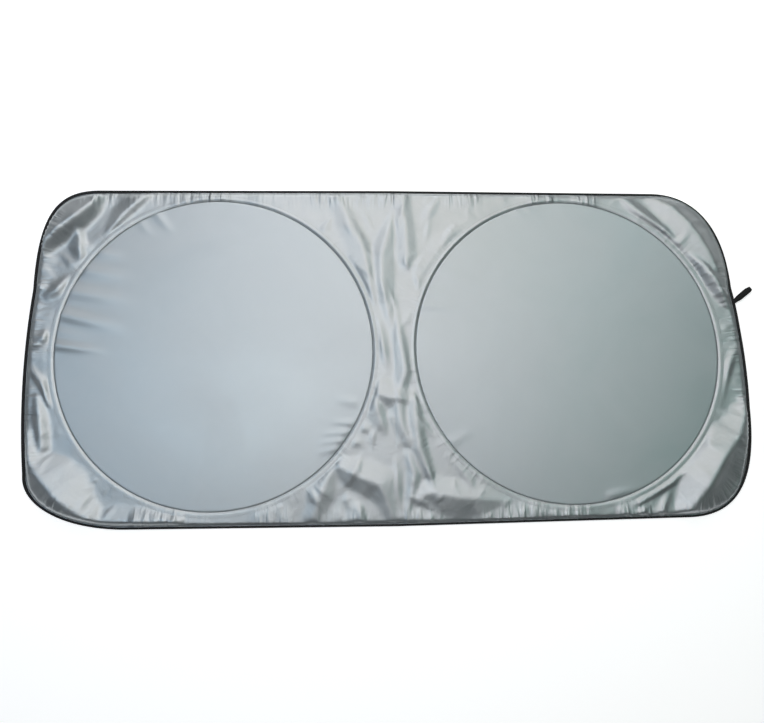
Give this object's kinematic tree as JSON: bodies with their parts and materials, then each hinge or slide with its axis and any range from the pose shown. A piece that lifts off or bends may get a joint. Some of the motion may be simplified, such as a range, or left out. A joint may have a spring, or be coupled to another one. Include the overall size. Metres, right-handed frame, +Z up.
{
  "type": "windscreen sunshade",
  "caption": "Pop-up windscreen sunshade: sprung round hoops in silver-coated cloth with a bound edge and an elastic storage loop, lying open with its silver side up.",
  "frame": {"origin": "on the floor under the middle of the overall length and width, loop included", "axes": "+X along the shade's length to the edge with the elastic loop, +Y towards the straight edge that is up in the picture, +Z up out of the silver side"},
  "size_m": [1.5152, 0.7, 0.0278],
  "materials": {
    "silver_cloth": "satin metallic coating on woven cloth",
    "sleeve_cloth": "matt uncoated back of the same cloth",
    "spring_steel": "drawn spring wire",
    "binding_tape": "matt black woven tape",
    "black_elastic": "matt black knitted elastic"
  },
  "bodies": {
    "root": {"surround_panel": "silver_cloth", "left_disc": "silver_cloth", "right_disc": "silver_cloth", "left_sleeve": "sleeve_cloth", "right_sleeve": "sleeve_cloth", "left_hoop": "spring_steel", "right_hoop": "spring_steel", "left_ferrule": "spring_steel", "right_ferrule": "spring_steel", "edge_binding": "binding_tape", "elastic_loop": "black_elastic"}
  },
  "joints": []
}
